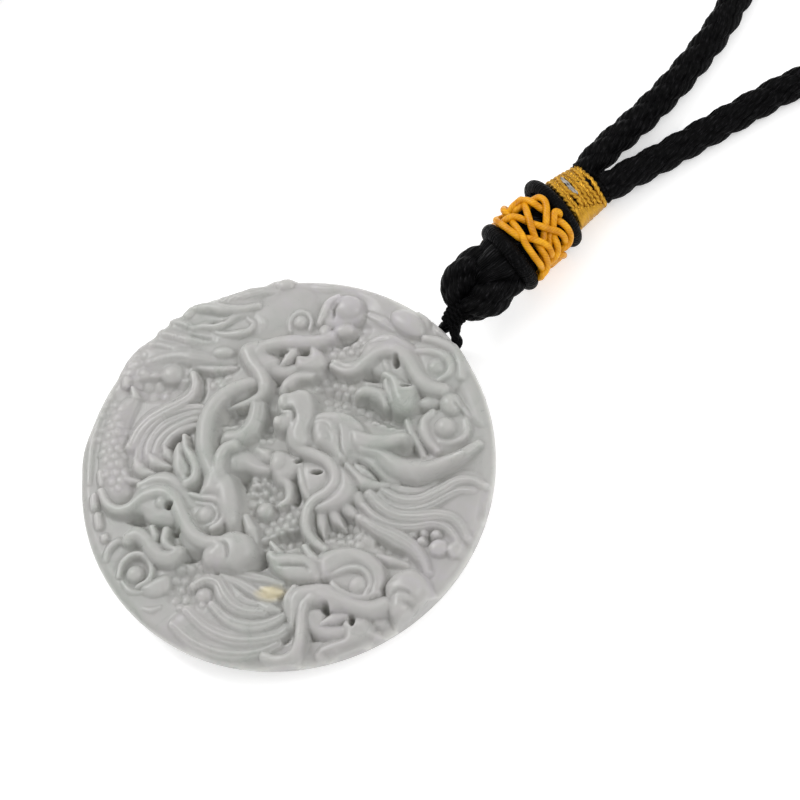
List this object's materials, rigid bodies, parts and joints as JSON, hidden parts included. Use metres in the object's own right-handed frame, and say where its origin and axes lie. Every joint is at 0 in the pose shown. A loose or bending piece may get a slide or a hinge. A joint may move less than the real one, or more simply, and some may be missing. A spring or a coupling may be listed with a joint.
{
  "type": "carved jadeite pendant on a knotted cord",
  "caption": "Round jadeite pendant carved with dragons' heads, hung from a thin loop, wound collars, a yellow lattice and a gold thread wrap on a braided black neck cord.",
  "frame": {"origin": "centre of the stone's flat back, on the surface that it lies on", "axes": "+Z out of the carved face; the stone's cord leaves it between +X and +Y"},
  "size_m": [0.1356, 0.1464, 0.0127],
  "materials": {
    "jade": "polished, pale grey-green with faint lavender",
    "black_thread": "matt wound thread",
    "black_cord": "braided with a soft sheen",
    "yellow_cord": "smooth waxed cord",
    "gold_thread": "metallic braided thread"
  },
  "bodies": {
    "root": {"jade_disc": "jade", "hanging_loop": "black_thread", "cord_bight": "black_cord", "lower_collar": "black_thread", "lattice_wrap": "yellow_cord", "upper_collar": "black_thread", "gold_wrap": "gold_thread", "neck_cord": "black_cord"}
  },
  "joints": []
}
